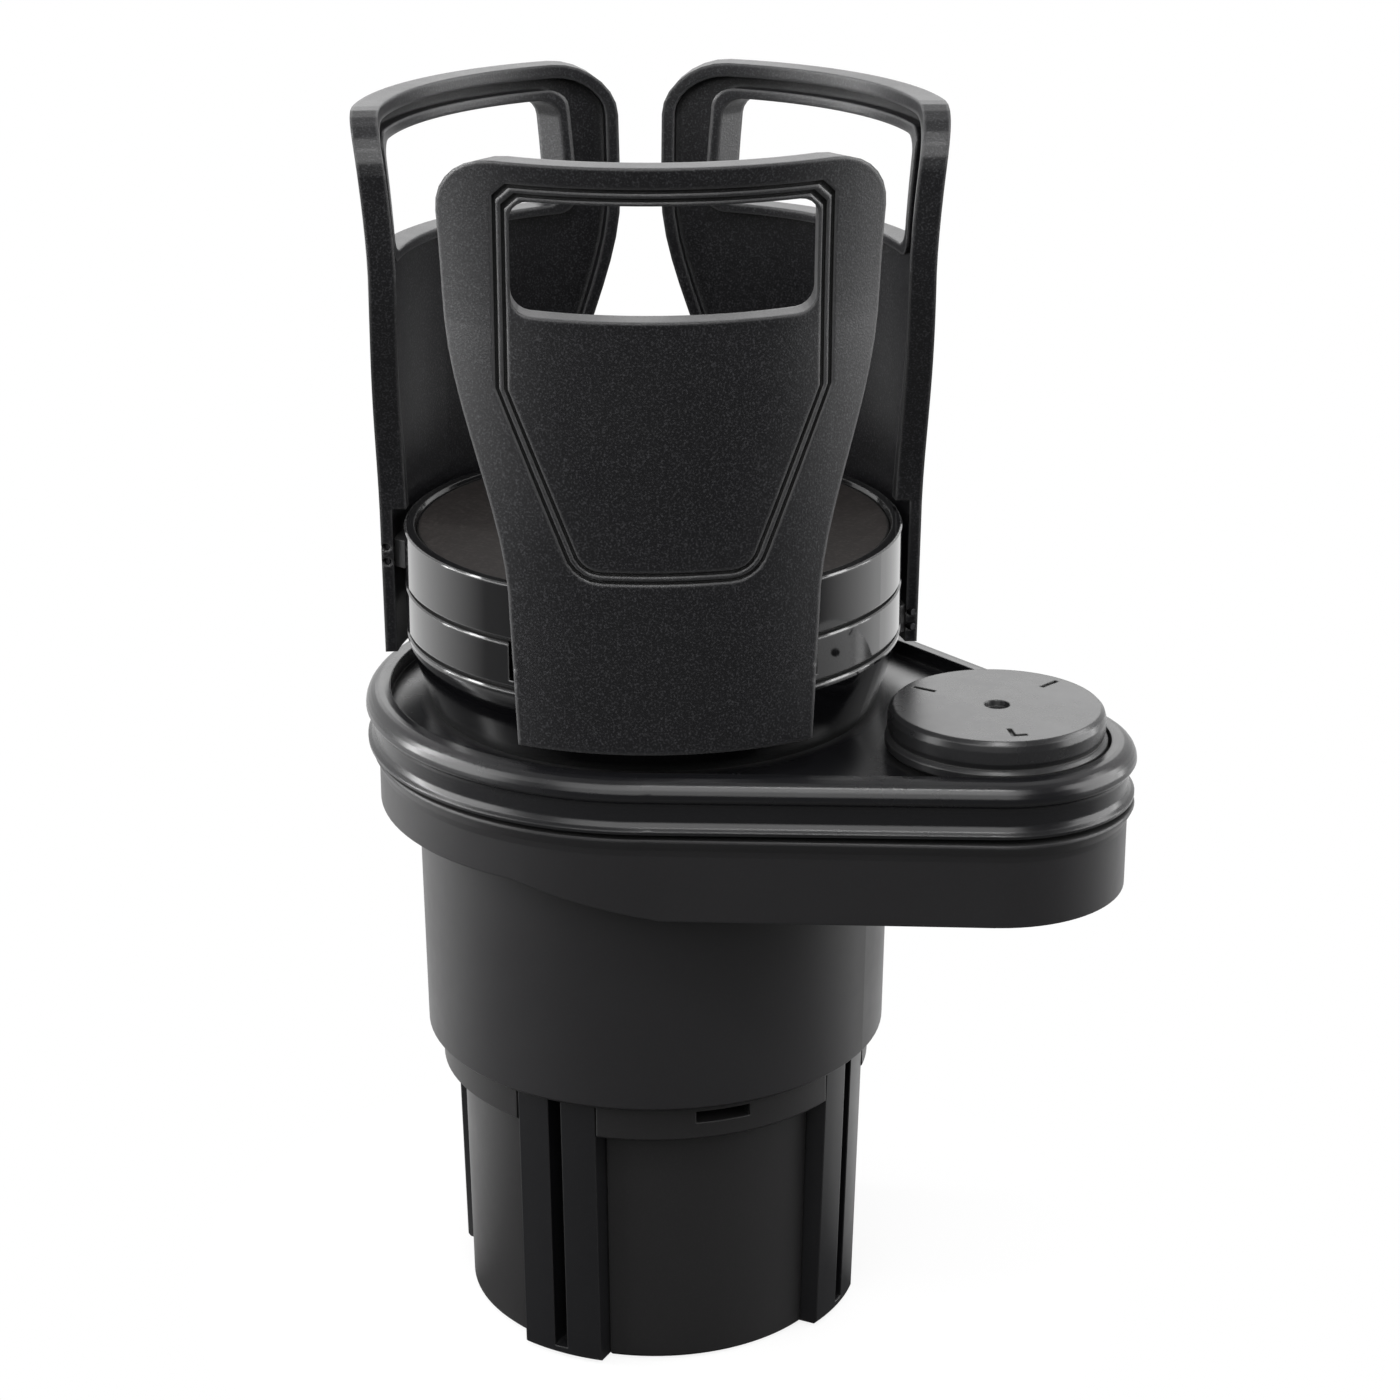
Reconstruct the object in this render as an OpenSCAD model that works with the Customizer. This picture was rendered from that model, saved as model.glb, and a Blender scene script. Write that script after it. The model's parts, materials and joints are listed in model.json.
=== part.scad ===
// Two-tier car cup holder: a twist-to-grip foot, a lower cup with a pear-shaped tray,
// and a swinging upper tray whose three petals slide out together on racks and a pinion.
// Origin at the centre of the foot's underside, +Z up, +X towards the swing pivot.

/* [Foot] */
// Radius of the foot at its bottom edge
foot_r = 33; // [31:0.5:34]
// Radius of the foot under its collar
foot_top_r = 33.8; // [33:0.1:35]
// Height of the foot's plain wall
foot_h = 44; // [38:1:60]
// Wall of the foot
foot_wall = 2.2; // [1.8:0.1:3]
// How far the collar on top of the foot stands out of it
collar_out = 3.5; // [3:0.1:4.5]
// Height of the collar
collar_h = 6.5; // [6:0.5:9]
// Thickness of the deck inside the collar
deck_t = 2.6; // [2:0.1:3.5]
// Thickness of the foot's bottom cover
cover_t = 2.4; // [2:0.1:4]
// Width of the slot through the collar
window_w = 9.5; // [4:0.5:14]
// Height of the slot through the collar
window_h = 2.1; // [1:0.1:2.5]

/* [Claws] */
// Number of claws that spread to grip a well
claw_count = 4; // [4]
// Width of a claw
claw_w = 14.6; // [12:0.1:16]
// How far a claw stands out of the foot at the bottom
claw_proud = 3; // [2:0.1:3.4]
// How far a claw stands out of the foot at the top
claw_proud_top = 3.5; // [2:0.1:4]
// Width of the groove down a claw
claw_groove = 2.4; // [1.5:0.1:4]
// Depth of the groove down a claw
claw_groove_d = 4.5; // [2:0.1:6]
// Wall of a claw
claw_wall = 2; // [1.4:0.1:2.6]
// Thickness of a claw's guide tongues
tongue_t = 3; // [2:0.1:4]
// Where a claw's pin stands from the axis, closed
pin_place = 17; // [16.5:0.1:18]
// Radius of a claw's cam pin
pin_r = 2; // [1.5:0.1:2.2]
// How far the claws move out for one radian of twist
cam_lead = 5; // [3:0.1:5]
// Twist that spreads the claws fully, in degrees
twist_max = 80; // [50:1:84]

/* [Lower cup] */
// Outer radius of the cup at its bottom edge
cup_r = 39.8; // [39:0.1:41]
// Outer radius of the cup under its tray
cup_top_r = 40.4; // [39.8:0.1:41.5]
// Height of the cup's wall below the tray
cup_h = 37.8; // [30:0.1:60]
// Wall of the cup
cup_wall = 2.2; // [1.8:0.1:3]
// Thickness of the cup's floor
cup_floor_t = 2.4; // [2:0.1:4]
// Thickness of the cam plate under the floor
cam_t = 2.5; // [2:0.1:3]
// Radius of the cam plate
cam_r = 30; // [28.5:0.5:32]
// Radius of the hub that turns in the deck
hub_r = 6; // [5:0.1:7]
// Thickness of the lower anti-slip pad
low_pad_t = 1.5; // [1:0.1:3]

/* [Trays] */
// Distance from the cup's axis to the swing pivot
pivot_x = 62.5; // [61:0.5:66]
// Outline radius of the lower tray round the cup
low_tray_r = 48; // [47:0.1:50]
// Outline radius of the lower tray round the pivot
low_tip_r = 22.8; // [22:0.1:24]
// Height of the lower tray at the pivot
low_tray_h = 14.6; // [12:0.1:18]
// Height of the lower tray where it only rings the cup
low_side_h = 9.8; // [8:0.1:12]
// How far the lower tray's top edge stands out of its side
low_lip = 1.1; // [0.6:0.1:1.4]
// Outline radius of the upper tray's bead round the cup
up_tray_r = 48.9; // [48:0.1:50]
// Outline radius of the upper tray's bead round the pivot
up_tip_r = 22.9; // [22.7:0.1:24]
// Height of the upper tray
up_tray_h = 9; // [8.8:0.1:14]
// Wall of the trays
tray_wall = 2.4; // [1.8:0.1:3]
// Depth of the upper tray's sunk deck below its rim
recess_d = 2.6; // [1:0.1:2.8]
// Width of the upper tray's rim
rim_w = 4.2; // [3.8:0.1:4.4]
// Radius of the rounded shoulders
shoulder_r = 3; // [1:0.1:3.6]
// Gap between the two trays
tray_gap = 1; // [0.5:0.1:2]
// Radius of the sleeve that the upper tray swings on
sleeve_r = 7; // [6:0.1:8]

/* [Drum] */
// Outer radius of the drum
drum_r = 41.6; // [41:0.1:41.7]
// Wall of the drum
drum_wall = 2.2; // [1.8:0.1:3]
// Radius of the drum where it meets the tray
neck_r = 37.6; // [37.2:0.1:39.5]
// Height of the lowest band, which tapers down to the tray
band_low_h = 12.8; // [12.4:0.1:15]
// Height of the middle band
band_mid_h = 8; // [8:0.1:10]
// Height of the top band
band_top_h = 9.95; // [9.5:0.05:13]
// Height of the black groove under a band
band_groove_h = 0.9; // [0.5:0.1:1.2]
// Depth of the black groove under a band
band_groove_d = 1; // [0.5:0.1:1.4]
// Thickness of the drum's floors
drum_floor_t = 1.8; // [1.5:0.1:1.8]
// Thickness of the spacer plate
spacer_t = 0.9; // [0.8:0.1:1]
// Thickness of the drum's ceiling
ceiling_t = 2.4; // [2:0.1:2.6]
// Thickness of the upper anti-slip pad
up_pad_t = 1.4; // [1:0.1:1.6]
// Width of the drum's rim lip round the pad
lip_w = 2; // [1.5:0.1:3]

/* [Petals] */
// How far each petal slides out
petal_travel = 12; // [6:0.5:12]
// Radius of a petal's outer face
petal_r = 48; // [46:0.1:52]
// Gap between the drum and the middle of a petal
petal_clear = 2; // [1.8:0.1:3]
// Wall of a petal
petal_wall = 2; // [1.6:0.1:2]
// Depth of the rim behind a petal's edge
petal_rim_d = 4.4; // [3:0.1:5]
// Width of the rim behind a petal's edge
petal_rim_w = 2.2; // [1.5:0.1:3]
// Height of a petal
petal_h = 93.5; // [85:0.5:110]
// Gap between the tray and a petal
petal_lift = 3.3; // [2:0.1:3.8]
// Half width of a petal at its foot
petal_foot_w = 23.4; // [22.8:0.1:24]
// Half width of a petal's waist
petal_waist_w = 24.4; // [23.5:0.1:25]
// Half width of a petal's head
petal_head_w = 33.6; // [31:0.1:34.5]
// Outward flare of a petal's head
petal_flare = 2.2; // [0:0.1:3]
// Radius of a petal's top corners
petal_corner_r = 9; // [4:0.5:10]
// Width of the window in a petal
petal_window_w = 46.6; // [36:0.1:48]
// Height of the window in a petal
petal_window_h = 18; // [10:0.5:22]
// Bar above the window
petal_bar_h = 5.8; // [4:0.1:9]
// Width of the double line moulded round a petal's shield
line_w = 1.9; // [1.6:0.1:2.2]
// Width of each groove of the double line
line_groove = 0.6; // [0.4:0.1:0.7]
// Depth of the line moulded round a petal's shield
line_d = 0.7; // [0.3:0.1:1]

/* [Racks] */
// Teeth on the pinion
pinion_teeth = 12; // [12]
// Tooth module of the pinion and the racks
tooth_m = 1; // [0.8:0.05:1]
// Thickness of a slide plate
slide_t = 4.9; // [4.5:0.1:4.9]
// Half width of a slide plate
slide_w = 22; // [20:0.1:22.2]
// Radius of the pinion's axle
axle_r = 2; // [1.5:0.1:2.5]

/* [Knob] */
// Radius of the knob's top face
knob_r = 16.8; // [15:0.1:17]
// Radius of the knob's flange
knob_flange_r = 18.1; // [17.5:0.1:18.2]
// Height of the knob above the sunk deck
knob_h = 7.9; // [7:0.1:10]
// Radius of the dimple in the knob
dimple_r = 2.4; // [1:0.1:4]

/* [Hidden] */

fine = 180; // facets on a large round shape
round_n = 48; // facets on a small round shape
cut = 1; // how far a cutter runs past a face
run = 0.06; // radial clearance of a shaft in its bore
gap = 0.3; // clearance between faces that move past each other
snug = 0.05; // clearance of a piece in its seat
merge = 0.03; // overlap where a straight side joins an arc
slide_gap = 0.25; // clearance above and below a slide plate

// heights of the foot and the lower cup
collar_z = foot_h + collar_h;
deck_z = collar_z - deck_t;
collar_r = foot_top_r + collar_out;
cup_z = collar_z + gap;
cam_z = cup_z + 0.1;
floor_z = cam_z + cam_t;
cup_in_z = floor_z + cup_floor_t;
low_tray_z = cup_z + cup_h;
low_top_z = low_tray_z + low_tray_h;
claw_travel = cam_lead * twist_max * PI / 180;

// heights of the upper tray and the drum
up_z = low_top_z + tray_gap;
up_top_z = up_z + up_tray_h;
deck_up_z = up_top_z - recess_d;
band_mid_z = deck_up_z + band_low_h;
band_top_z = band_mid_z + band_mid_h;
rim_z = band_top_z + band_top_h;
base_floor_z = band_mid_z - slide_t - 2 * slide_gap;
mid_floor_z = band_mid_z + drum_floor_t;
spacer_z = mid_floor_z + slide_t + 2 * slide_gap;
top_floor_z = spacer_z + spacer_t;
ceiling_z = top_floor_z + slide_t + 2 * slide_gap;
pad_z = ceiling_z + ceiling_t;
drum_in_r = drum_r - drum_wall;

// each petal: the way it slides out and the floor that its slide plate runs on
RIGHT = [68, base_floor_z];
FRONT = [-60, mid_floor_z];
LEFT = [172, top_floor_z];

// racks and pinion
pitch_r = pinion_teeth * tooth_m / 2;
tip_r = pitch_r + 0.9 * tooth_m;
rack_addendum = 0.62 * tooth_m;
root_r = pitch_r - rack_addendum - 0.25 * tooth_m;
press_a = 20; // pressure angle
backlash = 0.24 * tooth_m;

// petals
petal_z = up_top_z + petal_lift;
petal_top_z = petal_z + petal_h;
petal_in_r = petal_r - petal_wall;
petal_shift = drum_r + petal_clear - petal_in_r; // where the petal's arc has its centre
flare_h = 26; // height of the flared head
flare_z = petal_top_z - flare_h;
waist_z = petal_z + 22; // where the sides begin to widen
head_z = petal_z + 71; // where the sides reach full width
window_top_z = petal_top_z - petal_bar_h;
window_z = window_top_z - petal_window_h;
rim_start_z = rim_z + 0.9; // the rim behind a petal's edge begins above the drum

// A cylinder cut off by nothing, from one height to another
module rod(r, z0, z1) translate([0, 0, z0]) cylinder(r = r, h = z1 - z0, $fn = r > 12 ? fine : round_n);

// A ring between two radii
module ring(r_out, r_in, z0, z1) {
    difference() {
        rod(r_out, z0, z1);
        rod(r_in, z0 - cut, z1 + cut);
    }
}

// Children repeated round the axis
module around(count, first = 0) {
    for (i = [0:count - 1]) rotate(first + i * 360 / count) children();
}

// A screw with a countersunk head on top and its shank down
module sunk_screw(r, head_r, length) {
    translate([0, 0, -length]) cylinder(r = r, h = length - head_r + r + snug, $fn = round_n);
    translate([0, 0, -(head_r - r)]) cylinder(r1 = r, r2 = head_r, h = head_r - r, $fn = round_n);
}

// The seat for such a screw
module sunk_seat(r, head_r, depth) {
    translate([0, 0, -depth]) cylinder(r = r + snug, h = depth + cut, $fn = round_n);
    translate([0, 0, -(head_r - r)])
        cylinder(r1 = r + snug, r2 = head_r + snug, h = head_r - r, $fn = round_n);
    cylinder(r = head_r + snug, h = cut, $fn = round_n);
}

// Lean of the straight sides that join the two ends of a pear outline
function pear_lean(r_big, r_tip) = asin((r_big - r_tip) / pivot_x);

// A prism on a pear outline: two round ends joined by straight sides
module pear(r_big, r_tip, z0, z1) {
    rod(r_big, z0, z1);
    translate([pivot_x, 0, 0]) rod(r_tip, z0, z1);
    pear_web(r_big, r_tip, merge, z0, z1);
}

// What lies between the round ends, its sides set in from the outline
module pear_web(r_big, r_tip, inset, z0, z1) {
    lean = pear_lean(r_big, r_tip);
    translate([0, 0, z0]) linear_extrude(height = z1 - z0) polygon([
        (r_big - inset) * [sin(lean), cos(lean)],
        [pivot_x, 0] + (r_tip - inset) * [sin(lean), cos(lean)],
        [pivot_x + 0.8 * r_tip, 0],
        [pivot_x, 0] + (r_tip - inset) * [sin(lean), -cos(lean)],
        (r_big - inset) * [sin(lean), -cos(lean)]]);
}

// An edge profile for radius r carried round a pear outline
module pear_edge(r_big, r_tip, profile) {
    lean = pear_lean(r_big, r_tip);
    side = sqrt(pow(pivot_x, 2) - pow(r_big - r_tip, 2));
    rotate_extrude($fn = fine) polygon(edge_points(r_big, profile, 0));
    translate([pivot_x, 0, 0]) rotate_extrude($fn = fine) polygon(edge_points(r_tip, profile, 0));
    for (s = [0, 1]) mirror([0, s, 0]) rotate(-lean) rotate([90, 0, 90])
        linear_extrude(height = side) polygon(edge_points(r_big - merge, lowered(profile), r_big - 2 * side_w));
    pear_web(r_big, r_tip, side_w, profile[0][1] + merge, profile[len(profile) - 1][1]);
}
side_w = 6; // how far in from the outline its straight sides meet the web

// A profile is a list of [inset from the outline, height], from bottom to top
function lowered(profile) = concat([[profile[0][0], profile[0][1] - merge]], profile);
function edge_points(r, profile, inner) = concat([[inner, profile[0][1]]],
    [for (p = profile) [r - p[0], p[1]]], [[inner, profile[len(profile) - 1][1]]]);

// A quarter-round shoulder of radius r that ends at height z, set in from the outline
function shoulder(inset, r, z) = [for (i = [0:6]) [inset + r * (1 - cos(15 * i)), z - r * (1 - sin(15 * i))]];

// Foot: a tapered shell with four claw windows, a collar and a deck
module foot_shell() {
    color("dimgray") difference() {
        union() {
            rotate_extrude($fn = fine) polygon([[foot_r - 0.6, 0], [foot_r, 0.6], [foot_top_r, foot_h],
                [collar_r - 0.5, foot_h], [collar_r, foot_h + 0.5], [collar_r, collar_z],
                [0, collar_z], [0, deck_z], [foot_top_r - foot_wall, deck_z],
                [foot_top_r - foot_wall, foot_h], [foot_r - foot_wall, 0]]);
            around(4, 45) translate([cover_screw_r, 0, 0]) rod(4, cover_t, deck_z + merge);
            around(claw_count) for (s = [-1, 1])
                translate([guide_in, s * (claw_w / 2 + gap + 0.75) - 0.75, deck_z - tongue_t])
                    cube([guide_out - guide_in, 1.5, tongue_t + merge]);
        }
        around(claw_count) {
            translate([claw_back - gap, -claw_w / 2 - gap, -cut])
                cube([collar_r, claw_w + 2 * gap, deck_z + cut]);
            translate([claw_strip - gap, -claw_w / 2 - gap, -cut])
                cube([collar_r, claw_w + 2 * gap, collar_z + 2 * cut]);
            translate([pin_place, 0, 0]) rod(pin_r + gap, deck_z - cut, collar_z + cut);
            translate([pin_place + claw_travel, 0, 0]) rod(pin_r + gap, deck_z - cut, collar_z + cut);
            translate([pin_place, -pin_r - gap, deck_z - cut])
                cube([claw_travel, 2 * (pin_r + gap), deck_t + 2 * cut]);
        }
        rod(hub_r + run, deck_z - cut, collar_z + cut);
        around(4, 45) translate([cover_screw_r, 0, 0]) rod(cover_screw - 0.2, 0, 14);
        rotate(window_a) translate([foot_top_r - foot_wall, -window_w / 2, collar_z - 1.2 - window_h])
            cube([collar_r, window_w, window_h]);
    }
}
cover_screw_r = 22; // where the cover's screws stand
cover_screw = 1.5; // radius of the cover's screws
cover_head = 2.9; // radius of their heads
window_a = -45; // where the slot stands in the collar
guide_in = 14; // inner end of the ribs that guide the claws' tongues
guide_out = foot_r - foot_wall - 0.8; // outer end of those ribs

// Cover that closes the foot and keeps the claws in
module foot_cover() {
    color("dimgray") difference() {
        union() {
            rod(foot_r - foot_wall - 0.35, 0, cover_t);
            around(claw_count) for (s = [-1, 1])
                translate([guide_in, s * (claw_w / 2 + gap + 0.75) - 0.75, cover_t - merge])
                    cube([guide_out - 2.5 - guide_in, 1.5, tongue_t + merge]);
        }
        around(4, 45) translate([cover_screw_r, 0, 0]) mirror([0, 0, 1])
            sunk_seat(cover_screw, cover_head, cover_t + cut);
    }
}

module cover_screws() {
    color("silver") around(4, 45) translate([cover_screw_r, 0, 0]) mirror([0, 0, 1])
        sunk_screw(cover_screw - 0.2, cover_head - 0.1, 11);
}

// One claw: a grooved, tapered strip with a guide tongue at each end and a cam pin
module claw(turn) {
    low = cover_t + gap;
    high = deck_z - gap;
    color("dimgray") rotate(turn) union() {
        difference() {
            intersection() {
                rotate_extrude($fn = fine) polygon([[0, gap], [foot_r + claw_proud - 0.5, gap],
                    [foot_r + claw_proud, gap + 0.5],
                    [foot_top_r + claw_proud_top, collar_z - 0.5],
                    [foot_top_r + claw_proud_top - 0.5, collar_z], [0, collar_z]]);
                union() {
                    translate([claw_strip, -claw_w / 2, 0]) cube([collar_r, claw_w, collar_z + cut]);
                    translate([claw_back, -claw_w / 2, low]) cube([collar_r, claw_w, high - low]);
                }
            }
            for (s = [-1, 1])
                translate([claw_back - cut, s * pocket_place - pocket_w / 2, low + tongue_t])
                    cube([cut + foot_r + claw_proud - claw_wall - claw_back, pocket_w,
                        high - low - 2 * tongue_t]);
            translate([foot_r + claw_proud - claw_groove_d, -claw_groove / 2, gap + 1.5])
                cube([claw_groove_d + 8, claw_groove, collar_z]);
        }
        for (z = [low, high - tongue_t]) translate([tongue_in, -claw_w / 2, z])
            cube([claw_back - tongue_in + merge, claw_w, tongue_t]);
        translate([pin_place, 0, 0]) rod(pin_r, high - merge, floor_z - 0.2);
    }
}
tongue_in = 13; // where a claw's tongues begin
claw_back = foot_r - foot_wall - claw_travel - 1; // inner face of a claw's block
claw_strip = foot_r - foot_wall + gap; // inner face of its ends, clear of the cover and the deck
pocket_w = (claw_w - claw_groove) / 2 - 2 * claw_wall; // hollow behind each half of a claw
pocket_place = claw_groove / 2 + claw_wall + pocket_w / 2; // middle of that hollow

module claw_right() claw(0);
module claw_rear() claw(90);
module claw_left() claw(180);
module claw_front() claw(270);

// Lower cup with its pear-shaped tray, pivot post and hub, in one moulding
module main_cup() {
    color("dimgray") difference() {
        union() {
            rotate_extrude($fn = fine) polygon([[0, floor_z], [cam_r + 0.5, floor_z], [cam_r + 0.5, cup_z],
                [cup_r - 0.6, cup_z], [cup_r, cup_z + 0.6], [cup_top_r, low_tray_z + 2],
                [cup_top_r, low_top_z - 1], [0, low_top_z - 1]]);
            difference() {
                pear_edge(low_tray_r, low_tip_r, [[low_lip, low_tray_z], [low_lip, low_top_z - 3.4],
                    [0.8 * low_lip, low_top_z - 2.3], [0.3 * low_lip, low_top_z - 1.3], [0, low_top_z - 0.6],
                    [0.15, low_top_z - 0.15], [0.6, low_top_z]]);
                pear(low_tray_r - low_lip - tray_wall, low_tip_r - low_lip - tray_wall,
                    low_tray_z - cut, low_top_z - tray_wall);
                rotate([90, 0, 0]) translate([0, 0, -low_tray_r - cut])
                    linear_extrude(height = 2 * (low_tray_r + cut)) polygon([[-low_tray_r - cut, low_tray_z - cut],
                        [slope_x1 + cut, low_tray_z - cut], [slope_x1, low_tray_z],
                        [slope_x0, low_top_z - low_side_h], [-low_tray_r - cut, low_top_z - low_side_h]]);
            }
            translate([pivot_x, 0, 0]) rod(post_r, low_tray_z + 0.5, low_top_z - 1);
            translate([pivot_x, 0, 0]) rod(sleeve_r, low_top_z - 2, deck_up_z - gap);
            for (a = [0, 90, 180, 270]) translate([pivot_x, 0, low_tray_z + 1]) rotate(a + 45)
                translate([0, -0.8, 0]) cube([low_tip_r - low_lip - 1, 1.6, low_tray_h - 2]);
            rod(hub_r, deck_z - gap, floor_z + merge);
        }
        rotate_extrude($fn = fine) polygon([[0, cup_in_z], [cup_r - cup_wall - 1.5, cup_in_z],
            [cup_r - cup_wall, cup_in_z + 1.5], [cup_top_r - cup_wall, low_top_z - 1.2],
            [cup_top_r - cup_wall + 1.2, low_top_z + cut], [0, low_top_z + cut]]);
        translate([pivot_x, 0, 0]) rod(nut_r, low_tray_z - cut, low_tray_z + nut_h + 0.5);
        translate([pivot_x, 0, 0]) rod(bolt_r + gap, low_tray_z, deck_up_z + cut);
        rod(spindle_r, deck_z - gap - cut, floor_z + 1.2);
        around(3, cam_screw_a) translate([cam_screw_place, 0, floor_z]) rod(cam_screw - 0.2, -cut, 2);
    }
}
slope_x0 = -2; // where the lower tray's edge begins to run down
slope_x1 = 22; // and where it reaches its full depth
post_r = 9.5; // pivot post under the lower tray
nut_r = 4.5; // threaded insert in the post
nut_h = 6; // height of the insert
bolt_r = 2.5; // the knob's bolt
spindle_r = 1.6; // screw that holds the cup on the foot
cam_screw_place = 10.6; // where the cam plate's screws stand
cam_screw_a = 30; // clear of the cam slots
cam_screw = 1.4; // radius of the cam plate's screws
cam_head = 2.4; // radius of their heads

// Points of a cam slot: a spiral that turns claw twist into travel
function spiral(a, side) = (pin_place + cam_lead * a * PI / 180 + side * (pin_r + gap)) * [cos(a), -sin(a)];

// Cam plate: four spiral slots drive the claws' pins
module cam_plate() {
    color("gray") difference() {
        rod(cam_r, cam_z, floor_z);
        rod(hub_r + snug, cam_z - cut, floor_z + cut);
        around(claw_count) {
            translate([0, 0, cam_z - cut]) linear_extrude(height = cam_t + 2 * cut) polygon(concat(
                [for (a = [0:5:twist_max]) spiral(a, 1)],
                [for (a = [twist_max:-5:0]) spiral(a, -1)]));
            translate([pin_place, 0, 0]) rod(pin_r + gap, cam_z - cut, floor_z + cut);
            rotate(-twist_max) translate([pin_place + claw_travel, 0, 0])
                rod(pin_r + gap, cam_z - cut, floor_z + cut);
        }
        around(3, cam_screw_a) translate([cam_screw_place, 0, cam_z]) mirror([0, 0, 1])
            sunk_seat(cam_screw, cam_head, cam_t + cut);
    }
}

module cam_screws() {
    color("silver") around(3, cam_screw_a) translate([cam_screw_place, 0, cam_z]) mirror([0, 0, 1])
        sunk_screw(cam_screw - 0.2, cam_head - 0.1, cam_t + 1.6);
}

// Washer under the deck that stops the cup lifting off the foot
module retaining_washer() {
    color("silver") ring(9, spindle_r + snug, deck_z - gap - 1.5, deck_z - gap);
}

module spindle_screw() {
    color("silver") union() {
        rod(spindle_r, deck_z - gap - 1.6, floor_z + 1);
        rod(3.2, deck_z - gap - 3.7, deck_z - gap - 1.5);
    }
}

module lower_pad() {
    color("black") rotate_extrude($fn = fine) polygon([[0, cup_in_z], [cup_r - cup_wall - 2, cup_in_z],
        [cup_r - cup_wall - 2, cup_in_z + low_pad_t - 0.4],
        [cup_r - cup_wall - 2.4, cup_in_z + low_pad_t], [0, cup_in_z + low_pad_t]]);
}

module pivot_nut() {
    color("goldenrod") translate([pivot_x, 0, 0])
        ring(nut_r, bolt_r, low_tray_z + 0.5, low_tray_z + nut_h + 0.5);
}

// Upper tray: a pear-shaped shell with a beaded rim and a sunk deck
module upper_tray() {
    in_z = deck_up_z - tray_wall;
    color("dimgray") difference() {
        union() {
            difference() {
                pear_edge(up_tray_r, up_tip_r, concat(
                    [[0.2, up_z], [0.2, up_z + 0.5], [0.8, up_z + 1], [1.2, up_z + 1.8],
                    [1.2, up_top_z - shoulder_r - 1.7], [0.9, up_top_z - shoulder_r - 1],
                    [0.25, up_top_z - shoulder_r - 0.5]], shoulder(0, shoulder_r, up_top_z)));
                pear(up_tray_r - rim_w, up_tip_r - rim_w, deck_up_z, up_top_z + cut);
                pear(up_tray_r - 1.2 - tray_wall, up_tip_r - 1.2 - tray_wall, up_z - cut, in_z);
            }
            translate([pivot_x, 0, 0]) rod(sleeve_r + 3, up_z, deck_up_z - merge);
            around(3, 0) translate([tray_screw_place, 0, 0]) rod(4, in_z - 2, in_z + merge);
            around(6, 30) translate([8.8, -0.8, in_z - 3]) cube([up_tray_r - 11.8, 1.6, 3 + merge]);
            ring(9.6, 8, in_z - 3, in_z + merge);
        }
        translate([pivot_x, 0, 0]) rod(sleeve_r + run, up_z - cut, deck_up_z + cut);
        around(3, 0) translate([tray_screw_place, 0, in_z - 2]) mirror([0, 0, 1])
            sunk_seat(tray_screw, tray_head, tray_wall + 2 + cut);
    }
}
tray_screw_place = 30; // where the drum's screws stand
tray_screw = 1.5; // radius of the drum's screws
tray_head = 2.9; // radius of their heads

module tray_screws() {
    color("silver") around(3, 0) translate([tray_screw_place, 0, deck_up_z - tray_wall - 2])
        mirror([0, 0, 1]) sunk_screw(tray_screw - 0.2, tray_head - 0.1, tray_wall + 7);
}

// One band of the drum: a wall whose lower edge is set back as a black groove
module band(z0, z1, groove = true) {
    back = groove ? band_groove_d : 0;
    rotate_extrude($fn = fine) polygon([[drum_in_r, z0], [drum_r - back, z0],
        [drum_r - back, z0 + band_groove_h - 0.2], [drum_r - 0.25, z0 + band_groove_h - 0.2],
        [drum_r, z0 + band_groove_h], [drum_r, z1 - 0.25], [drum_r - 0.25, z1], [drum_in_r, z1]]);
}

// The mouth that a slide plate comes out of
module mouth(petal, z1) {
    rotate(petal[0]) translate([20, -mouth_w, petal[1]]) cube([drum_r, 2 * mouth_w, z1 - petal[1]]);
}
mouth_w = slide_w + 2.6;

// Two rails that guide a slide plate
module rails(petal, z0, z1) {
    rotate(petal[0]) for (s = [-1, 1])
        translate([slide_back - 2, s * (slide_w + slide_side + 1) - 1, z0]) cube([50, 2, z1 - z0]);
}
slide_side = 0.15; // clearance beside a slide plate

// Bosses for the screws that join the drum's bands
module stack_bosses(angles, z0, z1) {
    for (a = angles) rotate(a) translate([stack_place, 0, 0]) rod(3.4, z0, z1);
}
LOW_STACK = [158, 248]; // round the right slide plate
TOP_STACK = [24, 112]; // round the other two
stack_place = drum_in_r - 5.9;
stack_grip = 4.5; // how deep the stack's screws hold
stack_screw = 1.3; // radius of the stack's screws
stack_head = 2.3; // radius of their heads
pinion_hole = tip_r + 0.6;

// Outer radius of the lowest band at height z
function taper(z) = neck_r + (drum_r - neck_r) * (z - deck_up_z) / (band_low_h - 0.8);

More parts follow.
